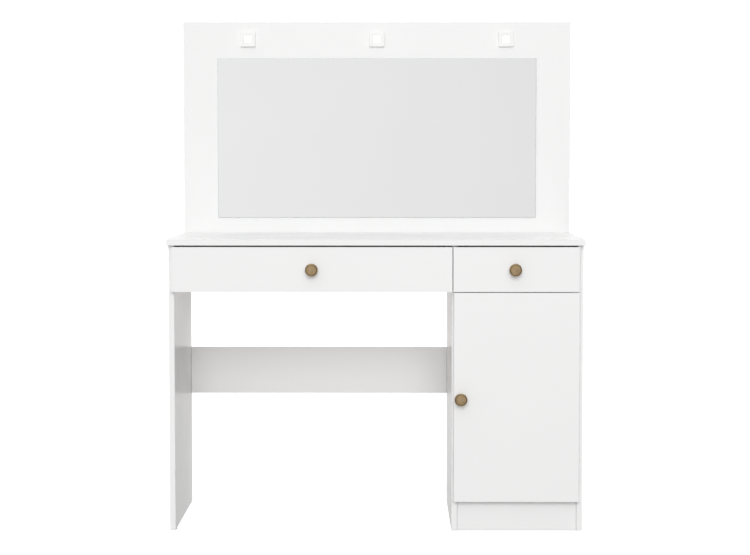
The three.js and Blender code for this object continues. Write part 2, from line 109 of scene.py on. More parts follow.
class Surface:
    """A Principled material and the nodes that vary it, in the object's own coordinates."""

    def __init__(self, name, color, roughness, metallic=0.0, **sockets):
        self.material = bpy.data.materials.new(name)
        self.material.use_nodes = True
        self.tree = self.material.node_tree
        self.shader = self.tree.nodes["Principled BSDF"]
        self.shader.inputs["Base Color"].default_value = (*color, 1)
        self.shader.inputs["Roughness"].default_value = roughness
        self.shader.inputs["Metallic"].default_value = metallic
        for socket, value in sockets.items():
            self.shader.inputs[socket.replace("_", " ")].default_value = value
        self.coords = self.tree.nodes.new("ShaderNodeTexCoord")

    def node(self, kind, **settings):
        node = self.tree.nodes.new(kind)
        for setting, value in settings.items():
            setattr(node, setting, value)
        return node

    def join(self, source, target):
        self.tree.links.new(source, target)

    def place(self, stretch=(1, 1, 1)):
        mapping = self.node("ShaderNodeMapping")
        mapping.inputs["Scale"].default_value = stretch
        self.join(self.coords.outputs["Object"], mapping.inputs["Vector"])
        return mapping.outputs["Vector"]

    def noise(self, scale, detail, stretch=(1, 1, 1)):
        """Noise with that many features in a metre, stretched along the axes of small numbers."""
        texture = self.node("ShaderNodeTexNoise")
        texture.inputs["Scale"].default_value = scale
        texture.inputs["Detail"].default_value = detail
        self.join(self.place(stretch), texture.inputs["Vector"])
        return texture.outputs["Fac"]

    def cells(self, scale):
        """Distance to the nearest of scattered points, with that many in a metre."""
        texture = self.node("ShaderNodeTexVoronoi")
        texture.inputs["Scale"].default_value = scale
        self.join(self.place(), texture.inputs["Vector"])
        return texture.outputs["Distance"]

    def remap(self, value, low, high, to_low, to_high):
        return range_node(self.tree, value, (low, high, to_low, to_high))

    def math(self, operation, first, second):
        return math_node(self.tree, operation, first, second)

    def facing(self, axis):
        """1 where the surface faces along the axis, 0 where it faces well away from it."""
        node = self.node("ShaderNodeVectorMath", operation="DOT_PRODUCT")
        node.inputs[1].default_value = axis
        self.join(self.coords.outputs["Normal"], node.inputs[0])
        return self.remap(node.outputs["Value"], *FACING_RANGE, 0, 1)

    def blend(self, factor, first, second):
        """A colour between two, where each is a colour or another node's output."""
        node = self.node("ShaderNodeMix", data_type="RGBA")
        self.join(factor, node.inputs[0])
        for socket, value in zip((node.inputs[6], node.inputs[7]), (first, second)):
            if isinstance(value, tuple):
                socket.default_value = (*value, 1)
            else:
                self.join(value, socket)
        return node.outputs[2]

    def color(self, output):
        self.join(output, self.shader.inputs["Base Color"])

    def roughness(self, output):
        self.join(output, self.shader.inputs["Roughness"])

    def metallic(self, output):
        self.join(output, self.shader.inputs["Metallic"])

    def bump(self, height, distance, strength):
        """Relief whose full height is that distance in metres."""
        node = self.node("ShaderNodeBump")
        node.inputs["Strength"].default_value = strength
        node.inputs["Distance"].default_value = distance
        self.join(height, node.inputs["Height"])
        self.join(node.outputs["Normal"], self.shader.inputs["Normal"])


def shade(color, factor):
    return tuple(channel * factor for channel in color)


LAMINATE_WHITE = (0.88, 0.88, 0.877)


def laminate_material():
    """Gloss white melamine: faint orange peel, soft wiping marks, hardly any tone change."""
    surface = Surface("gloss_white_laminate", LAMINATE_WHITE, 0.24, Specular_IOR_Level=0.5)
    cloud = surface.noise(5, 3)
    surface.color(surface.blend(cloud, shade(LAMINATE_WHITE, 0.99), shade(LAMINATE_WHITE, 1.008)))
    wiping = surface.noise(6, 2)
    surface.roughness(surface.remap(wiping, 0.3, 0.7, 0.22, 0.27))
    peel = surface.noise(420, 2)
    surface.bump(peel, 0.00001, 0.2)
    return surface.material


def edge_band_material():
    """Rounded edge of the band glued on each board: a touch warmer and smoother."""
    color = shade(LAMINATE_WHITE, 0.98)
    surface = Surface("edge_band", color, 0.2)
    drag = surface.noise(90, 3)
    surface.color(surface.blend(drag, shade(color, 0.97), color))
    surface.roughness(surface.remap(drag, 0.3, 0.7, 0.16, 0.28))
    surface.bump(surface.noise(900, 2), 0.00002, 0.3)
    return surface.material


def drawer_laminate_material():
    """Satin white foil with a fine linen grain, on drawer sides and backs."""
    color = (0.80, 0.797, 0.785)
    surface = Surface("satin_drawer_foil", color, 0.48)
    cloud = surface.noise(12, 3)
    surface.color(surface.blend(cloud, shade(color, 0.96), shade(color, 1.02)))
    threads = [surface.noise(900, 1, stretch) for stretch in ((1, 0.15, 1), (1, 1, 0.15))]
    weave = surface.math("MULTIPLY", *threads)
    surface.roughness(surface.remap(weave, 0.1, 0.5, 0.42, 0.56))
    surface.bump(weave, 0.00006, 0.5)
    return surface.material


def hardboard_material(raw_side):
    """Thin hardboard, white lacquer on one face and bare brown fibre on the raw side."""
    white = (0.80, 0.795, 0.775)
    brown = (0.36, 0.235, 0.135)
    surface = Surface("hardboard_lacquered", white, 0.5)
    fibre = surface.noise(650, 5, (1, 0.6, 0.35))
    flecks = surface.remap(surface.cells(420), 0.05, 0.35, 0, 1)
    bare = surface.blend(fibre, shade(brown, 0.7), shade(brown, 1.35))
    bare = surface.blend(flecks, bare, shade(brown, 1.1))
    lacquer = surface.blend(surface.noise(20, 3), shade(white, 0.97), shade(white, 1.02))
    raw = surface.facing(raw_side)
    surface.color(surface.blend(raw, lacquer, bare))
    surface.roughness(surface.remap(raw, 0, 1, 0.42, 0.82))
    surface.bump(fibre, 0.0001, 0.4)
    return surface.material


def mirror_material():
    """Silvered float glass: a clear silver face, and green ground glass on the edges and the back."""
    surface = Surface("silvered_glass", (0.83, 0.84, 0.845), 0.015, 1.0)
    face = surface.facing(tuple(FRONT))
    green = surface.blend(surface.noise(160, 3), (0.42, 0.58, 0.52), (0.55, 0.70, 0.64))
    silver = surface.blend(surface.noise(3, 2), (0.805, 0.805, 0.805), (0.832, 0.832, 0.833))
    surface.color(surface.blend(face, green, silver))
    surface.metallic(face)
    dust = surface.remap(surface.noise(60, 5), 0.35, 0.75, 0.008, 0.03)
    ground = surface.remap(surface.noise(700, 2), 0.3, 0.7, 0.3, 0.45)
    dusty_face = surface.math("MULTIPLY", face, dust)
    ground_edge = surface.math("MULTIPLY", surface.remap(face, 0, 1, 1, 0), ground)
    surface.roughness(surface.math("ADD", dusty_face, ground_edge))
    return surface.material


def brass_material():
    """Antique brass: a brown patina that is darker in patches, with a fine cast texture."""
    surface = Surface("antique_brass", (0.36, 0.27, 0.155), 0.36, 1.0)
    patches = surface.noise(120, 4)
    speckle = surface.noise(1600, 3)
    patina = surface.remap(patches, 0.35, 0.65, 0, 1)
    brass = surface.blend(patina, (0.42, 0.305, 0.172), (0.49, 0.36, 0.207))
    surface.color(surface.blend(surface.remap(speckle, 0.55, 0.75, 0, 0.4), brass, (0.2, 0.14, 0.08)))
    surface.roughness(surface.remap(patches, 0.3, 0.7, 0.4, 0.32))
    surface.bump(speckle, 0.00005, 0.4)
    return surface.material


def steel_material():
    """Zinc-plated steel: rolling marks along its length, a slightly cloudy coat."""
    color = (0.68, 0.69, 0.70)
    surface = Surface("zinc_plated_steel", color, 0.33, 1.0)
    rolling = surface.noise(700, 4, (1, 0.03, 1))
    cloud = surface.noise(45, 4)
    surface.color(surface.blend(cloud, shade(color, 0.82), shade(color, 1.12)))
    streaks = surface.remap(rolling, 0.3, 0.7, 0.2, 0.36)
    surface.roughness(surface.math("ADD", streaks, surface.remap(cloud, 0.3, 0.7, 0, 0.08)))
    surface.bump(rolling, 0.00003, 0.4)
    return surface.material


def plastic_material(name, color, roughness, grain):
    """Moulded plastic with a fine spark texture of that many grains in a metre."""
    surface = Surface(name, color, roughness)
    cloud = surface.noise(30, 3)
    surface.color(surface.blend(cloud, shade(color, 0.96), shade(color, 1.03)))
    spark = surface.noise(grain, 2)
    surface.roughness(surface.remap(spark, 0.3, 0.7, roughness - 0.06, roughness + 0.08))
    surface.bump(spark, 0.00005, 0.4)
    return surface.material


def diffuser_material():
    """Frosted lens, lit from behind by a few small lamps."""
    surface = Surface("frosted_lens", (0.95, 0.95, 0.94), 0.5, Emission_Strength=0.12)
    glow = surface.noise(70, 1)
    surface.join(
        surface.blend(glow, (0.97, 0.985, 1.0), (1.0, 1.0, 0.99)),
        surface.shader.inputs["Emission Color"],
    )
    surface.bump(surface.noise(1500, 2), 0.00004, 0.4)
    return surface.material


MATERIALS = {
    "white_laminate": laminate_material(),
    "drawer_laminate": drawer_laminate_material(),
    "mirror_glass": mirror_material(),
    "antique_brass": brass_material(),
    "zinc_steel": steel_material(),
    "white_plastic": plastic_material("white_moulded_plastic", (0.92, 0.92, 0.912), 0.34, 1300),
    "light_diffuser": diffuser_material(),
    "black_plastic": plastic_material("black_moulded_plastic", (0.028, 0.028, 0.03), 0.42, 1100),
    "glide_plastic": plastic_material("grey_moulded_plastic", (0.27, 0.275, 0.285), 0.5, 900),
}
EDGE_BAND = edge_band_material()
HARDBOARD_BACK = hardboard_material(tuple(BACK))
HARDBOARD_BOTTOM = hardboard_material(tuple(DOWN))

# ------------------------------------------------------------------ the CAD pieces

# Width of the rounded edges of each material. The brass knobs have none, as turned ones replace them.
BEVELS = {
    "white_laminate": 0.8 * MM,
    "drawer_laminate": 0.5 * MM,
    "hardboard": 0.2 * MM,
    "mirror_glass": 0.7 * MM,
    "zinc_steel": 0.25 * MM,
    "white_plastic": 0.8 * MM,
    "light_diffuser": 0.4 * MM,
    "black_plastic": 0.6 * MM,
    "glide_plastic": 0.5 * MM,
}
BEVEL_SEGMENTS = 3
WELD_DISTANCE = 0.01 * MM
FLAT_ANGLE = 0.5  # degrees; faces that meet flatter than this are one face
EDGE_ANGLE = 40  # degrees; sharper edges than this are rounded
BANDED = "white_laminate"  # the material whose rounded edges show a glued band
SLOT_OF = {part["node"]: part["material_slot"] for part in frame["record"]["subparts"]}


def cad_material(node, slot):
    if slot == "hardboard":
        return HARDBOARD_BACK if node == "cabinet_back" else HARDBOARD_BOTTOM
    return MATERIALS[slot]


def soften(piece, width, edge_index):
    """Merges the faceted solid's corners, rounds its edges and shades it smoothly between them."""
    weld = piece.modifiers.new("weld", "WELD")
    weld.merge_threshold = WELD_DISTANCE
    flat = piece.modifiers.new("flat_faces", "DECIMATE")
    flat.decimate_type = "DISSOLVE"
    flat.angle_limit = math.radians(FLAT_ANGLE)
    bevel = piece.modifiers.new("rounded_edges", "BEVEL")
    bevel.width = width
    bevel.segments = BEVEL_SEGMENTS
    bevel.limit_method = "ANGLE"
    bevel.angle_limit = math.radians(EDGE_ANGLE)
    bevel.harden_normals = True
    bevel.material = edge_index
    imported_normals = piece.data.attributes.get("custom_normal")
    if imported_normals:
        piece.data.attributes.remove(imported_normals)
    for polygon in piece.data.polygons:
        polygon.use_smooth = True


def finish_cad_pieces():
    for node, piece in frame["nodes"].items():
        slot = SLOT_OF[node]
        piece.data.materials.clear()
        piece.data.materials.append(cad_material(node, slot))
        edge_index = -1  # the edges take the material of the faces beside them
        if slot == BANDED:
            piece.data.materials.append(EDGE_BAND)
            edge_index = 1
        if slot in BEVELS:
            soften(piece, BEVELS[slot], edge_index)


finish_cad_pieces()

# ------------------------------------------------------------------ mesh building


SMOOTH_BELOW = 35  # degrees; edges of an added piece that are sharper than this stay sharp
NO_RADIUS = 1e-9


def turned(profile, segments):
    """A closed solid of revolution about Z, from [radius, height] points in order."""
    mesh = bmesh.new()
    rings = []
    for radius, height in profile:
        if radius < NO_RADIUS:
            rings.append([mesh.verts.new((0, 0, height))])
            continue
        angles = (math.tau * index / segments for index in range(segments))
        points = [(radius * math.cos(a), radius * math.sin(a), height) for a in angles]
        rings.append([mesh.verts.new(point) for point in points])
    for lower, upper in zip(rings, rings[1:]):
        for index in range(segments):
            after = (index + 1) % segments
            corners = [lower[index % len(lower)], lower[after % len(lower)]]
            corners += [upper[after % len(upper)], upper[index % len(upper)]]
            unique = list(dict.fromkeys(corners))
            if len(unique) > 2:
                mesh.faces.new(unique)
    bmesh.ops.recalc_face_normals(mesh, faces=mesh.faces)
    return mesh


def rounded_block(size, radius, segments=3):
    """A block centred on the origin with all its edges rounded."""
    mesh = bmesh.new()
    bmesh.ops.create_cube(mesh, size=1)
    bmesh.ops.scale(mesh, vec=size, verts=mesh.verts)
    bmesh.ops.bevel(
        mesh, geom=list(mesh.edges), offset=radius, segments=segments, profile=0.5, affect="EDGES"
    )
    return mesh


def add_mesh(target, source, matrix):
    """Adds a copy of source to target, moved by the matrix."""
    copies = {vert: target.verts.new(matrix @ vert.co) for vert in source.verts}
    for face in source.faces:
        target.faces.new([copies[vert] for vert in face.verts])


def towards(position, direction, turn=0.0):
    """The matrix that stands a shape built along +Z at a position, facing a direction."""
    rotation = Vector(direction).to_track_quat("Z", "Y").to_matrix().to_4x4()
    return Matrix.Translation(position) @ rotation @ Matrix.Rotation(turn, 4, "Z")


def new_piece(name, mesh, body, slot):
    """An object of a finished mesh, riding on a body, with its slot's material."""
    data = bpy.data.meshes.new(name)
    mesh.to_mesh(data)
    mesh.free()
    data.materials.append(MATERIALS[slot])
    for polygon in data.polygons:
        polygon.use_smooth = True
    data.set_sharp_from_angle(angle=math.radians(SMOOTH_BELOW))
    piece = bpy.data.objects.new(name, data)
    bpy.context.scene.collection.objects.link(piece)
    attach(piece, body)
    return piece


def copies_of(shape, matrices):
    """One mesh of several copies of a shape, which is freed."""
    mesh = bmesh.new()
    for matrix in matrices:
        add_mesh(mesh, shape, matrix)
    shape.free()
    return mesh


# ------------------------------------------------------------------ knobs


KNOB_DOME = 0.4 * MM  # rise of the middle of a knob's face


def arc(centre, radius, start, end, steps):
    """Points [radius, height] along an arc, between two angles in degrees."""
    points = []
    for step in range(steps + 1):
        angle = math.radians(start + (end - start) * step / steps)
        points.append((centre[0] + radius * math.cos(angle), centre[1] + radius * math.sin(angle)))
    return points


def knob_mesh(radius, projection):
    """Mushroom knob: stepped foot, waisted stem, round rim, a groove and a slightly domed face."""
    rim = 4 * MM
    foot = 9 * MM
    waist = 5.6 * MM
    face = projection - 0.5 * MM
    profile = [(0, 0), (foot - 0.4 * MM, 0), (foot, 0.4 * MM), (foot, 1.8 * MM)]
    profile += arc((foot - 0.8 * MM, 1.8 * MM), 0.8 * MM, 0, 90, 4)
    profile += arc((foot - 0.8 * MM, 5.6 * MM), foot - 0.8 * MM - waist, -90, -180, 6)
    profile += [(waist, 9 * MM), (waist + 0.3 * MM, 11.5 * MM), (waist + 1.6 * MM, 14 * MM)]
    profile += [(radius - rim - 1 * MM, projection - 2 * rim - 0.6 * MM)]
    profile += arc((radius - rim, projection - rim), rim, -80, 70, 16)
    dome = radius - rim - 0.6 * MM
    profile += [(dome + 1.4 * MM, face - 0.6 * MM), (dome + 0.6 * MM, face - 0.6 * MM)]
    shares = (1, 0.8, 0.6, 0.4, 0.2, 0)
    profile += [(dome * share, face + KNOB_DOME * (1 - share**2)) for share in shares]
    return turned(profile, 96)


def add_knobs():
    for body in ("left_drawer", "right_drawer", "door"):
        node = f"{body}_knob"
        low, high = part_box(node)
        place = Vector(((low.x + high.x) / 2, high.y, (low.z + high.z) / 2))
        shape = knob_mesh((high.x - low.x) / 2, high.y - low.y)
        mesh = copies_of(shape, [towards(place, FRONT)])
        knob = new_piece(f"{node}_turned", mesh, body, "antique_brass")
        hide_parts(node)


add_knobs()

# ------------------------------------------------------------------ fittings

SINK = 0.1 * MM  # how far a fitting stands in the face that carries it
TURN_STEP = 0.7  # radians from one screw in a row to the next, as if driven by hand


def cross_reach(angle, arm, half_width):
    """Distance from the middle of a cross to its outline, in a direction."""
    folded = angle % (math.pi / 2)
    folded = min(folded, math.pi / 2 - folded)
    if folded <= math.atan2(half_width, arm) + NO_RADIUS:
        return arm / math.cos(folded)
    return half_width / math.sin(folded)


def cross_head(profile, arm, half_width, depth):
    """A round head with a cross recess. The profile goes from the rim up to the top face."""
    corner = math.atan2(half_width, arm)
    quarter = (0, corner, math.pi / 8, math.pi / 4, math.pi * 3 / 8, math.pi / 2 - corner)
    angles = [math.pi / 2 * turn + angle for turn in range(4) for angle in quarter]
    mesh = bmesh.new()
    rings = [([radius] * len(angles), height) for radius, height in profile]
    top = profile[-1][1]
    for share, height in ((1, top), (0.75, top - depth)):
        rings.append(([share * cross_reach(angle, arm, half_width) for angle in angles], height))
    rings = [
        [mesh.verts.new((r * math.cos(a), r * math.sin(a), height)) for r, a in zip(reaches, angles)]
        for reaches, height in rings
    ]
    for lower, upper in zip(rings, rings[1:]):
        for index in range(len(angles)):
            after = (index + 1) % len(angles)
            mesh.faces.new([lower[index], lower[after], upper[after], upper[index]])
    mesh.faces.new(list(reversed(rings[0])))
    mesh.faces.new(rings[-1])
    bmesh.ops.recalc_face_normals(mesh, faces=mesh.faces)
    return mesh


def pan_head(radius, height):
    """Domed screw head."""
    profile = [(radius, 0), (radius, 0.3 * height), (0.94 * radius, 0.6 * height)]
    profile += [(0.82 * radius, 0.85 * height), (0.66 * radius, height)]
    return cross_head(profile, 0.52 * radius, 0.14 * radius, 0.7 * height)


def flat_head(radius, height):
    """Flat screw head, turned in nearly flush."""
    profile = [(radius, 0), (radius, 0.5 * height), (0.88 * radius, height), (0.7 * radius, height)]
    return cross_head(profile, 0.5 * radius, 0.13 * radius, 0.75 * height)


def cam(radius):
    """Face of a cam fitting: a rim, a shallow ring and a large cross."""
    rim = 0.9 * MM
    face = 0.5 * MM
    profile = [(radius, 0), (radius, face), (radius - 0.4 * MM, rim), (radius - 1.2 * MM, rim)]
    profile += [(radius - 1.5 * MM, face), (radius - 2 * MM, face)]
    return cross_head(profile, 0.6 * radius, 0.12 * radius, 0.4 * MM)


def nail_head(radius):
    """Slightly domed nail head."""
    profile = [(0, 0), (radius, 0), (radius, 0.2 * MM), (radius * 0.7, 0.42 * MM), (0, 0.5 * MM)]
    return turned(profile, 16)


def bumper(radius, height):
    """Soft dome that a front closes against."""
    profile = [(0, 0), (radius, 0), (radius, 0.25 * height), (0.9 * radius, 0.62 * height)]
    profile += [(0.66 * radius, 0.88 * height), (0.35 * radius, 0.98 * height), (0, height)]
    return turned(profile, 24)


def ball(radius):
    """Bearing ball."""
    return turned([(0, -radius), *arc((0, 0), radius, -75, 75, 10), (0, radius)], 16)


def fit(name, body, slot, shape, places, direction, turn_step=TURN_STEP):
    """Copies of a shape on one face, each turned a little further than the last."""
    sunk = Vector(direction) * SINK
    matrices = [
        towards(Vector(place) - sunk, direction, turn_step * index) for index, place in enumerate(places)
    ]
    return new_piece(name, copies_of(shape, matrices), body, slot)


def spread(low, high, count):
    """Evenly spaced values from low to high."""
    return [low + (high - low) * index / (count - 1) for index in range(count)]


def middle(node):
    low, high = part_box(node)
    return (low + high) / 2


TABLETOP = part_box("tabletop")
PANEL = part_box("mirror_panel")
LEFT_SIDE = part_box("left_side_panel")
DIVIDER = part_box("divider_panel")
RIGHT_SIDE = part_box("right_side_panel")
CAM_RADIUS = 7.5 * MM
CAM_REACH = 24 * MM  # from a board's end to the middle of its cam fittings
PANEL_SCREW_INSET = 90 * MM  # outermost screw of the mirror panel from the tabletop's end
PANEL_SCREW_SHARES = (-1, -0.55, -0.2, 0.2, 0.55, 1)  # the screws, as shares of that reach
PANEL_SCREW_RISES = (30 * MM, 100 * MM)  # screws into an upright, above the panel's lower edge


def add_panel_screws():
    """Screws through the mirror panel into the tabletop, both side panels and the divider."""
    back = PANEL[1].y
    tabletop_height = middle("tabletop").z
    side = TABLETOP[1].x - PANEL_SCREW_INSET
    places = [(share * side, back, tabletop_height) for share in PANEL_SCREW_SHARES]
    for node in ("left_side_panel", "divider_panel", "right_side_panel"):
        for rise in PANEL_SCREW_RISES:
            places.append((middle(node).x, back, PANEL[0].z + rise))
    fit("mirror_panel_screws", "carcass", "zinc_steel", pan_head(4.5 * MM, 2.2 * MM), places, BACK)
    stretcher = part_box("back_stretcher")
    ends = (stretcher[0].x + CAM_REACH, stretcher[1].x - CAM_REACH)
    heights = (stretcher[0].z + 32 * MM, stretcher[1].z - 32 * MM)
    places = [(x, stretcher[1].y, z) for x in ends for z in heights]
    fit("back_stretcher_cams", "carcass", "zinc_steel", cam(CAM_RADIUS), places, BACK)


def add_carcass_cams():
    """Cam fittings under the boards of the cabinet, behind the plinth and at the top of the panels."""
    places = []
    for node in ("drawer_board", "cabinet_bottom"):
        low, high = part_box(node)
        for x in (low.x + CAM_REACH, high.x - CAM_REACH):
            places += [(x, y, low.z) for y in (low.y + 50 * MM, high.y - 50 * MM)]
    fit("cabinet_board_cams", "carcass", "zinc_steel", cam(CAM_RADIUS), places, DOWN)
    low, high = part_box("plinth")
    places = [(x, high.y, middle("plinth").z) for x in (low.x + CAM_REACH, high.x - CAM_REACH)]
    fit("plinth_cams", "carcass", "zinc_steel", cam(CAM_RADIUS), places, BACK)
    under_top = TABLETOP[0].z - CAM_REACH
    depths = (LEFT_SIDE[0].y + 30 * MM, LEFT_SIDE[1].y - 26 * MM)
    faces = {
        "left_side_panel": (LEFT_SIDE[1].x, RIGHT),
        "divider_panel": (DIVIDER[1].x, RIGHT),
        "right_side_panel": (RIGHT_SIDE[0].x, LEFT),
    }
    for node, (x, direction) in faces.items():
        places = [(x, y, under_top) for y in depths]
        fit(f"{node}_cams", "carcass", "zinc_steel", cam(CAM_RADIUS), places, direction)


def add_back_nails():
    """Nails all round the cabinet back, into the divider, the right side panel and the bottom."""
    low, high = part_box("cabinet_back")
    nail = nail_head(2.6 * MM)
    places = []
    for x in (middle("divider_panel").x, middle("right_side_panel").x):
        places += [(x, high.y, z) for z in spread(low.z + 12 * MM, high.z - 14 * MM, 8)]
    bottom = middle("cabinet_bottom").z
    places += [(x, high.y, bottom) for x in spread(low.x + 60 * MM, high.x - 60 * MM, 4)]
    fit("cabinet_back_nails", "carcass", "zinc_steel", nail, places, BACK, 0)


def add_shelf_pins():
    """Four pins under the shelf: a collar on the panel and a pin with a rounded tip."""
    low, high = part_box("cabinet_shelf")
    pin = 2.5 * MM
    reach = 9 * MM
    collar = 4 * MM
    profile = [(0, 0), (collar, 0), (collar, 0.8 * MM), (collar - 0.4 * MM, 1.2 * MM), (pin, 1.2 * MM)]
    profile += [(pin, reach - 1 * MM), (pin - 1 * MM, reach), (0, reach)]
    for side, x, direction in (("left", DIVIDER[1].x, RIGHT), ("right", RIGHT_SIDE[0].x, LEFT)):
        places = [(x, y, low.z - collar) for y in (low.y + 40 * MM, high.y - 40 * MM)]
        fit(f"shelf_pins_{side}", "carcass", "zinc_steel", turned(profile, 24), places, direction)


def add_hinge_details():
    """Ears and screws of each hinge cup, and the screws on each hinge's plate and rail."""
    door_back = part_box("door")[1].y
    ear_size = (13 * MM, 15 * MM, 1.2 * MM)
    hole_spread = 24 * MM  # screw hole from the middle of the cup
    plate_height = 2 * MM  # above the panel that carries it
    rail_height = 9 * MM  # above the plate
    plate_inset = 24 * MM  # the plate's screws, from the hinge's back end
    plate_spread = 19 * MM  # and from the hinge's middle
    rail_insets = (12 * MM, 38 * MM)  # the rail's screws, from the hinge's back end
    ears, ear_screws, plate_screws, rail_screws = [], [], [], []
    for hinge in ("upper", "lower"):
        cup = middle(f"{hinge}_hinge_cup")
        low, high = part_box(f"{hinge}_hinge_arm")
        plate_face = high.x - plate_height
        rail_face = plate_face - rail_height
        for side in (-1, 1):
            height = cup.z + side * hole_spread
            ears.append((cup.x, door_back, cup.z + side * (hole_spread - 0.5 * MM)))
            ear_screws.append((cup.x, door_back + ear_size[2] / 2, height))
            plate_screws.append((plate_face, high.y - plate_inset, cup.z + side * plate_spread))
        rail_screws += [(rail_face, high.y - offset, cup.z) for offset in rail_insets]
    shape = rounded_block(ear_size, 0.5 * MM, 2)
    fit("hinge_cup_ears", "door", "zinc_steel", shape, ears, BACK, 0)
    fit("hinge_cup_screws", "door", "zinc_steel", pan_head(3.6 * MM, 1.6 * MM), ear_screws, BACK)
    fit("hinge_plate_screws", "carcass", "zinc_steel", pan_head(4 * MM, 1.8 * MM), plate_screws, LEFT)
    fit("hinge_rail_screws", "carcass", "zinc_steel", pan_head(3.4 * MM, 1.4 * MM), rail_screws, LEFT)


def add_bumpers():
    """Soft pads where the door and the small drawer's front meet the divider."""
    fronts = (("door", "door", 40 * MM), ("right_drawer", "right_drawer_front", 14 * MM))
    for body, node, inset in fronts:
        low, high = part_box(node)
        gap = DIVIDER[0].y - high.y
        x = (max(low.x, DIVIDER[0].x) + DIVIDER[1].x) / 2
        places = [(x, high.y, z) for z in (low.z + inset, high.z - inset)]
        fit(f"{node}_bumpers", body, "glide_plastic", bumper(3.8 * MM, gap - 0.3 * MM), places, BACK)


# ------------------------------------------------------------------ drawer slides

SLIDE_METAL = 1.2 * MM
BALL_RADIUS = 1.5 * MM
BALL_PITCH = 9 * MM
BALLS = 11  # in each row of a cage
CAGE_INSET = 70 * MM  # middle of a cage from the end of the middle member
HEAD_RADIUS = 3.2 * MM
HEAD_HEIGHT = 0.8 * MM  # of a screw in a slide, less than the space between its members
CABINET_INSETS = (37 * MM, 40 * MM)  # outermost screws in the cabinet, from the front and the back
DRAWER_INSETS = (30 * MM, 60 * MM)  # and in the drawer's side


def add_slide_screws(drawer, side, inward):
    """Screws in the webs of the outer members, into the cabinet and into the drawer side."""
    name = f"{drawer}_{side}_slide"
    low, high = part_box(f"{name}_cabinet_member")
    wall = low.x if inward == RIGHT else high.x
    web = wall + inward.x * SLIDE_METAL
    height = (low.z + high.z) / 2
    depths = (low.y + CABINET_INSETS[0], (low.y + high.y) / 2, high.y - CABINET_INSETS[1])
    places = [(web, y, height) for y in depths]
    shape = flat_head(HEAD_RADIUS, HEAD_HEIGHT)
    fit(f"{name}_cabinet_screws", "carcass", "zinc_steel", shape, places, inward)
    low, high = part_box(f"{name}_drawer_member")
    wall = high.x if inward == RIGHT else low.x
    web = wall - inward.x * SLIDE_METAL
    places = [(web, y, height) for y in (low.y + DRAWER_INSETS[0], high.y - DRAWER_INSETS[1])]
    shape = flat_head(HEAD_RADIUS, HEAD_HEIGHT)
    fit(f"{name}_drawer_screws", drawer, "zinc_steel", shape, places, -inward)


def add_ball_cage(name, body, x, heights, y):
    """Rows of balls with the pressed strip that spaces them, above and below the slide's middle."""
    half_length = (BALLS + 1) * BALL_PITCH / 2
    strip = rounded_block((4.2 * MM, 2 * half_length, 0.5 * MM), 0.2 * MM, 1)
    matrices = [Matrix.Translation((x, y, z)) for z in heights]
    mesh = copies_of(strip, matrices)
    rows = spread(y - half_length + BALL_PITCH, y + half_length - BALL_PITCH, BALLS)
    shape = ball(BALL_RADIUS)
    for z in heights:
        for row in rows:
            add_mesh(mesh, shape, Matrix.Translation((x, row, z)))
    shape.free()
    new_piece(name, mesh, body, "zinc_steel")


def add_slide_details():
    """Screws and ball cages of all four slides."""
    for drawer in ("left_drawer", "right_drawer"):
        for side, inward in (("left", RIGHT), ("right", LEFT)):
            add_slide_screws(drawer, side, inward)
            name = f"{drawer}_{side}_slide"
            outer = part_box(f"{name}_cabinet_member")
            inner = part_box(f"{name}_middle_member")
            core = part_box(f"{name}_drawer_member")
            height = middle(f"{name}_cabinet_member").z
            race = (outer[1].z - SLIDE_METAL + inner[1].z) / 2 - height
            inner_race = (inner[1].z - SLIDE_METAL + core[1].z) / 2 - height
            body = f"{drawer}_middle_slides"
            x = (outer[0].x + outer[1].x + inner[0].x + inner[1].x) / 4
            heights = (height - race, height + race)
            add_ball_cage(f"{name}_outer_cage", body, x, heights, inner[1].y - CAGE_INSET)
            x = (core[0].x + core[1].x + inner[0].x + inner[1].x) / 4
            heights = (height - inner_race, height + inner_race)
            add_ball_cage(f"{name}_inner_cage", body, x, heights, inner[0].y + CAGE_INSET)


def add_drawer_fittings():
    """Cams that hold each drawer's sides to its front, and screws through the sides into the back."""
    for drawer in ("left_drawer", "right_drawer"):
        for side, inward in (("left", RIGHT), ("right", LEFT)):
            node = f"{drawer}_{side}_side"
            low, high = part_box(node)
            inner, outer = (high.x, low.x) if inward == RIGHT else (low.x, high.x)
            heights = (low.z + 26 * MM, high.z - 22 * MM)
            places = [(inner, low.y + CAM_REACH, z) for z in heights]
            fit(f"{node}_cams", drawer, "zinc_steel", cam(CAM_RADIUS), places, inward)
            back = middle(f"{drawer}_back").y
            places = [(outer, back, z) for z in heights]
            shape = flat_head(3.6 * MM, 0.6 * MM)
            fit(f"{node}_screws", drawer, "zinc_steel", shape, places, -inward)


# ------------------------------------------------------------------ wiring at the back


RACEWAY_WALL = 0.9 * MM  # of the caps, clips and cover that go round the raceway
CAP_LENGTH = 7 * MM
CAP_INSET = 2.6 * MM  # middle of an end cap from the raceway's end
CLIP_LENGTH = 9 * MM
CLIP_SHARES = (-0.68, -0.36, 0.36, 0.68)  # the clips, as shares of the raceway's half length
DROP_CLIP_INSETS = (60 * MM, 110 * MM)  # outermost clips of the drop, from its foot and its top
COVER_LENGTH = 34 * MM
STEM_LENGTH = 26 * MM
STEM_DROP = 15 * MM  # middle of the cover's stem below the middle of its bar


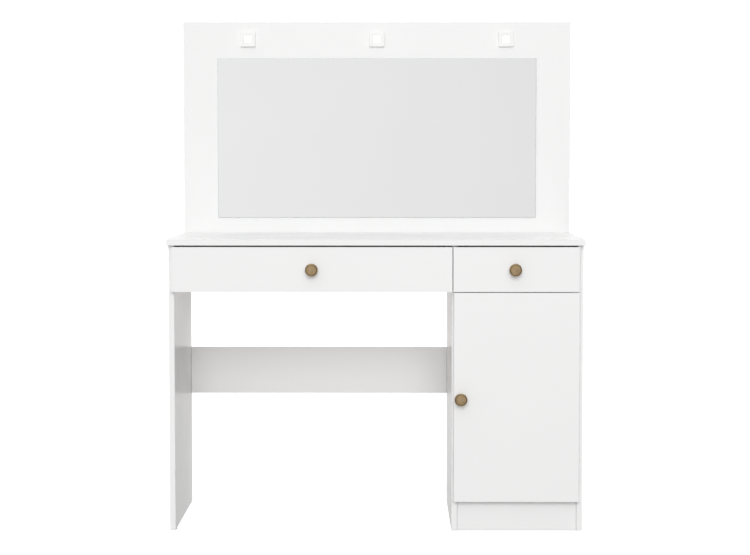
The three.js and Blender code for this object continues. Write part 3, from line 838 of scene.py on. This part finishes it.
def add_raceway_details():
    """Caps on the raceway's ends, clips round it and a cover where the drop leaves it."""
    low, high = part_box("cable_raceway")
    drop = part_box("cable_raceway_drop")
    wall = RACEWAY_WALL
    depth = high.y - low.y
    span = high.z - low.z
    drop_width = drop[1].x - drop[0].x
    y = (low.y + high.y) / 2 + wall / 2
    level = (low.z + high.z) / 2
    shape = rounded_block((CAP_LENGTH, depth + wall, span + 2 * wall), 0.7 * MM)
    places = [(low.x + CAP_INSET, y, level), (high.x - CAP_INSET, y, level)]
    matrices = [Matrix.Translation(place) for place in places]
    new_piece("raceway_end_caps", copies_of(shape, matrices), "carcass", "white_plastic")
    clip = rounded_block((CLIP_LENGTH, depth + wall, span + 2 * wall), 0.5 * MM)
    matrices = [Matrix.Translation((share * high.x, y, level)) for share in CLIP_SHARES]
    mesh = copies_of(clip, matrices)
    upright = rounded_block((drop_width + 2 * wall, depth + wall, CLIP_LENGTH), 0.5 * MM)
    for z in spread(drop[0].z + DROP_CLIP_INSETS[0], drop[1].z - DROP_CLIP_INSETS[1], 4):
        add_mesh(mesh, upright, Matrix.Translation((0, y, z)))
    upright.free()
    new_piece("raceway_clips", mesh, "carcass", "white_plastic")
    # The stem is shallower than the bar, so that their faces don't share a plane.
    cover = rounded_block((COVER_LENGTH, depth + 1.6 * wall, span + 3 * wall), 1.2 * MM)
    mesh = copies_of(cover, [Matrix.Translation((0, y + 0.3 * wall, level))])
    stem = rounded_block((drop_width + 3 * wall, depth + 1.2 * wall, STEM_LENGTH), 1.2 * MM)
    add_mesh(mesh, stem, Matrix.Translation((0, y + 0.3 * wall, level - STEM_DROP)))
    stem.free()
    new_piece("raceway_junction_cover", mesh, "carcass", "white_plastic")


def add_inlet_details():
    """A ring round the power inlet's socket and a screw on each side of it."""
    low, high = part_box("power_inlet")
    height = (low.z + high.z) / 2
    inner, outer = 3.4 * MM, 5.6 * MM
    ring = [(inner, -1 * MM), (outer, -1 * MM), (outer, 0.5 * MM), (5 * MM, 0.9 * MM)]
    ring += [(3.8 * MM, 0.9 * MM), (inner, 0.5 * MM), (inner, -1 * MM)]
    socket = (0, high.y, height)
    fit("power_inlet_ring", "carcass", "zinc_steel", turned(ring, 40), [socket], BACK)
    places = [(x, high.y, height) for x in (low.x + 5.5 * MM, high.x - 5.5 * MM)]
    fit("power_inlet_screws", "carcass", "zinc_steel", pan_head(2.6 * MM, 1.2 * MM), places, BACK)


add_panel_screws()
add_carcass_cams()
add_back_nails()
add_shelf_pins()
add_hinge_details()
add_bumpers()
add_slide_details()
add_drawer_fittings()
add_raceway_details()
add_inlet_details()

# ------------------------------------------------------------------ floor and light

BACK_LEVEL = 1.06  # brightness of the studio behind the table
BEHIND = (-0.3, 0.3, 0, 1)  # how far back a direction points, from and to, and the share behind
FRONT_LEVEL = 0.965  # before it
FRONT_LEAN = 0.36  # and how much brighter on the left than on the right
# How far sideways a direction points, from and to, and the share of the brightness there.
SIDE_DIMMING = (0.2, 0.8, 1.0, 0.36)

# How far up a direction points, from and to, and the share there, in place of light off the floor.
GROUND_DIMMING = (-0.35, -0.08, 0.55, 1.0)
SKY_DIMMING = (0.4, 0.9, 1.0, 0.98)

FLOOR_REACH = 60  # from the middle to each edge
FLOOR_COLOR = (0.84, 0.84, 0.84)
FLOOR_GLOW = 0.56  # of its own, so that it meets the white background without an edge
WHITE = (1, 1, 1, 1)

# Name, place, size and power of each soft lamp. They all face the middle of the table.
LAMPS = (
    ("front_lamp", (0.1, -6.0, 2.7), 3.4, 174),
    ("back_lamp", (-0.5, 5.5, 4.0), 3.0, 110),
    ("left_lamp", (-4.5, 0.5, 1.4), 1.6, 60),
    ("right_lamp", (4.5, 0.4, 1.4), 1.6, 60),
)
LAMPS_FACE = Vector((0, 0, 0.7))


def add_floor():
    """A plain pale floor, which the camera sees and the table's faces don't."""
    mesh = bmesh.new()
    bmesh.ops.create_grid(mesh, x_segments=8, y_segments=8, size=FLOOR_REACH)
    data = bpy.data.meshes.new("floor")
    mesh.to_mesh(data)
    mesh.free()
    surface = Surface("pale_floor", FLOOR_COLOR, 0.8, Emission_Strength=FLOOR_GLOW)
    surface.shader.inputs["Emission Color"].default_value = WHITE
    surface.color(surface.blend(surface.noise(3, 3), shade(FLOOR_COLOR, 0.99), shade(FLOOR_COLOR, 1.01)))
    data.materials.append(surface.material)
    floor = bpy.data.objects.new("floor", data)
    bpy.context.scene.collection.objects.link(floor)
    floor.visible_diffuse = False
    floor.visible_glossy = False


def add_lamp(name, place, size, power):
    """A round soft lamp that isn't seen itself, in the picture or in the mirror."""
    data = bpy.data.lights.new(name, "AREA")
    data.shape = "DISK"
    data.size = size
    data.energy = power
    light = bpy.data.objects.new(name, data)
    light.matrix_world = towards(Vector(place), Vector(place) - LAMPS_FACE)
    light.visible_camera = False
    light.visible_glossy = False
    bpy.context.scene.collection.objects.link(light)


def add_world():
    """A white studio: bright behind, a little dimmer in front, and dim to both sides."""
    world = bpy.data.worlds.new("studio")
    world.use_nodes = True
    tree = world.node_tree

    def calculate(*values):
        return math_node(tree, *values)

    def ramp(value, numbers):
        return range_node(tree, value, numbers, "SMOOTHSTEP")

    coords = tree.nodes.new("ShaderNodeTexCoord")
    split = tree.nodes.new("ShaderNodeSeparateXYZ")
    tree.links.new(coords.outputs["Generated"], split.inputs["Vector"])
    sideways, backward, upward = split.outputs
    leaning = calculate("SUBTRACT", FRONT_LEVEL, calculate("MULTIPLY", sideways, FRONT_LEAN))
    behind = ramp(backward, BEHIND)
    back_share = calculate("MULTIPLY", behind, BACK_LEVEL)
    front_share = calculate("MULTIPLY", calculate("SUBTRACT", 1, behind), leaning)
    dimming = ramp(calculate("ABSOLUTE", sideways), SIDE_DIMMING)
    background = tree.nodes["Background"]
    for upward_dimming in (GROUND_DIMMING, SKY_DIMMING):
        dimming = calculate("MULTIPLY", dimming, ramp(upward, upward_dimming))
    level = calculate("MULTIPLY", calculate("ADD", back_share, front_share), dimming)
    tree.links.new(level, background.inputs["Strength"])
    background.inputs["Color"].default_value = WHITE
    bpy.context.scene.world = world


add_floor()
add_world()
for lamp in LAMPS:
    add_lamp(*lamp)
bpy.context.scene.view_settings.view_transform = "Standard"
